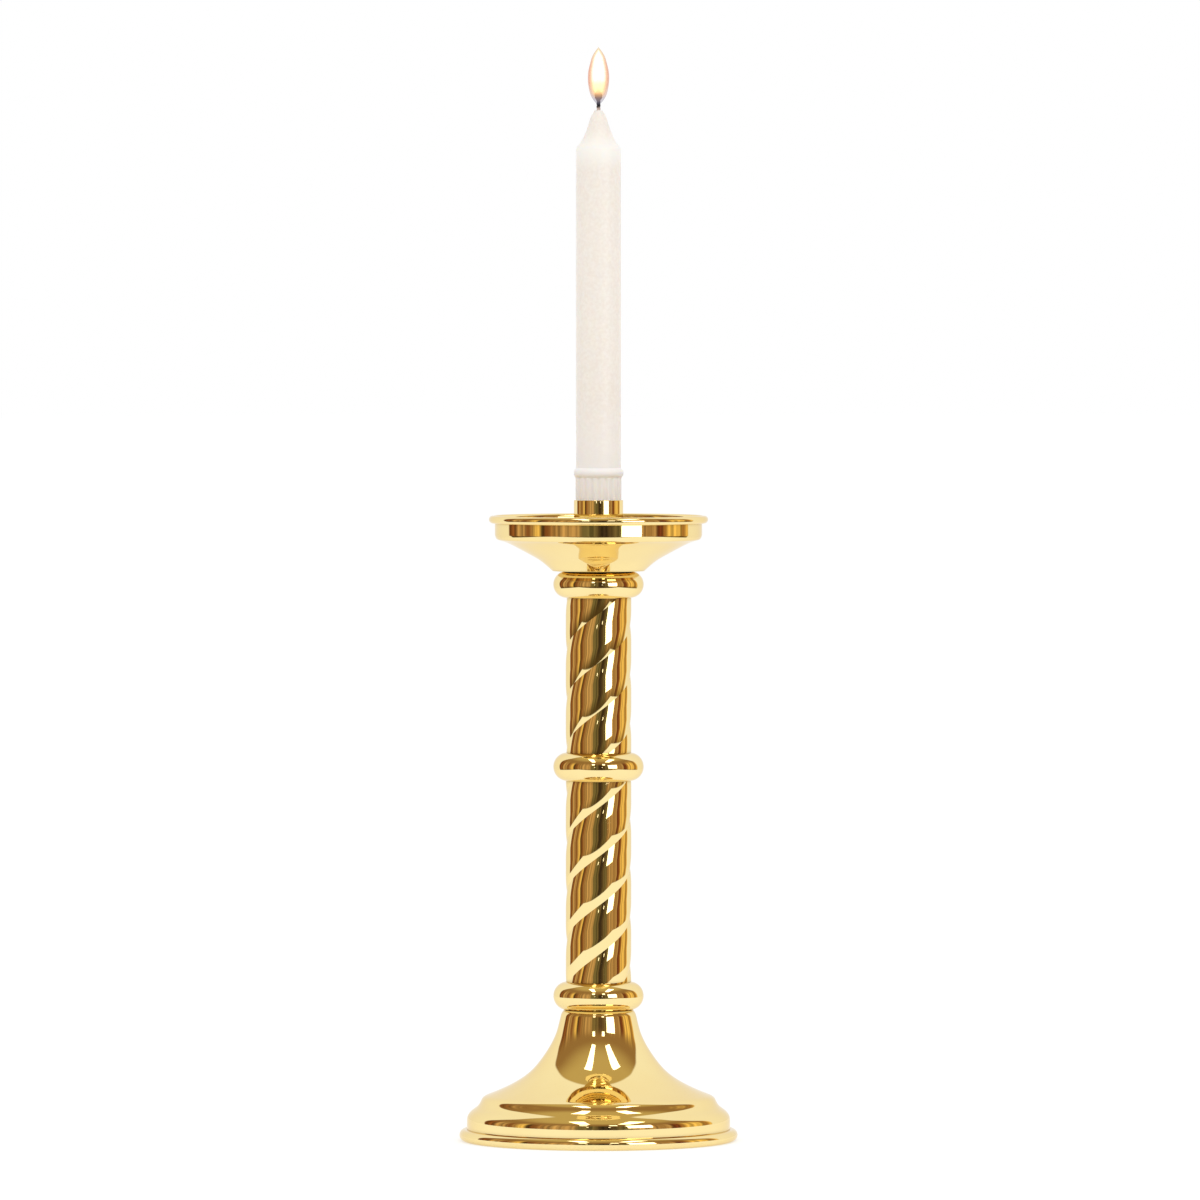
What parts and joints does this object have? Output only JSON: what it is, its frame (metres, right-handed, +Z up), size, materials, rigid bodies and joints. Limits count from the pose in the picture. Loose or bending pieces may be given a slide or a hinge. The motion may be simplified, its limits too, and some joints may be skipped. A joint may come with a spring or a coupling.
{
  "type": "candle holder",
  "caption": "Tall brass altar candlestick with a bell base, spiral columns, bead knops, a drip pan and a socket that holds one tapered-end candle.",
  "frame": {"origin": "centre of the base's foot ring, on the surface that the candlestick stands on", "axes": "+Z up the axis of the stem and candle; +X to the right and -Y towards the viewer in the picture"},
  "size_m": [0.138, 0.138, 0.5168],
  "materials": {
    "polished_brass": "spun or turned brass, mirror polished and lacquered",
    "zinc_steel": "zinc-plated steel fasteners",
    "candle_wax": "ivory candle wax, satin",
    "wick_cotton": "braided cotton, burnt at its end"
  },
  "bodies": {
    "holder": {"base_shell": "polished_brass", "lower_knop": "polished_brass", "lower_column": "polished_brass", "middle_knop": "polished_brass", "upper_column": "polished_brass", "upper_knop": "polished_brass", "drip_pan": "polished_brass", "socket": "polished_brass", "base_washer": "zinc_steel", "lock_washer": "zinc_steel", "base_nut": "zinc_steel", "tie_rod": "zinc_steel", "socket_washer": "zinc_steel", "socket_nut": "zinc_steel"},
    "candle": {"candle": "candle_wax", "wick": "wick_cotton"}
  },
  "joints": [
    {"name": "candle_lift", "type": "slide", "parent": "holder", "child": "candle", "axis": [0, 0, 1], "range_m": [0, 0.045]}
  ]
}
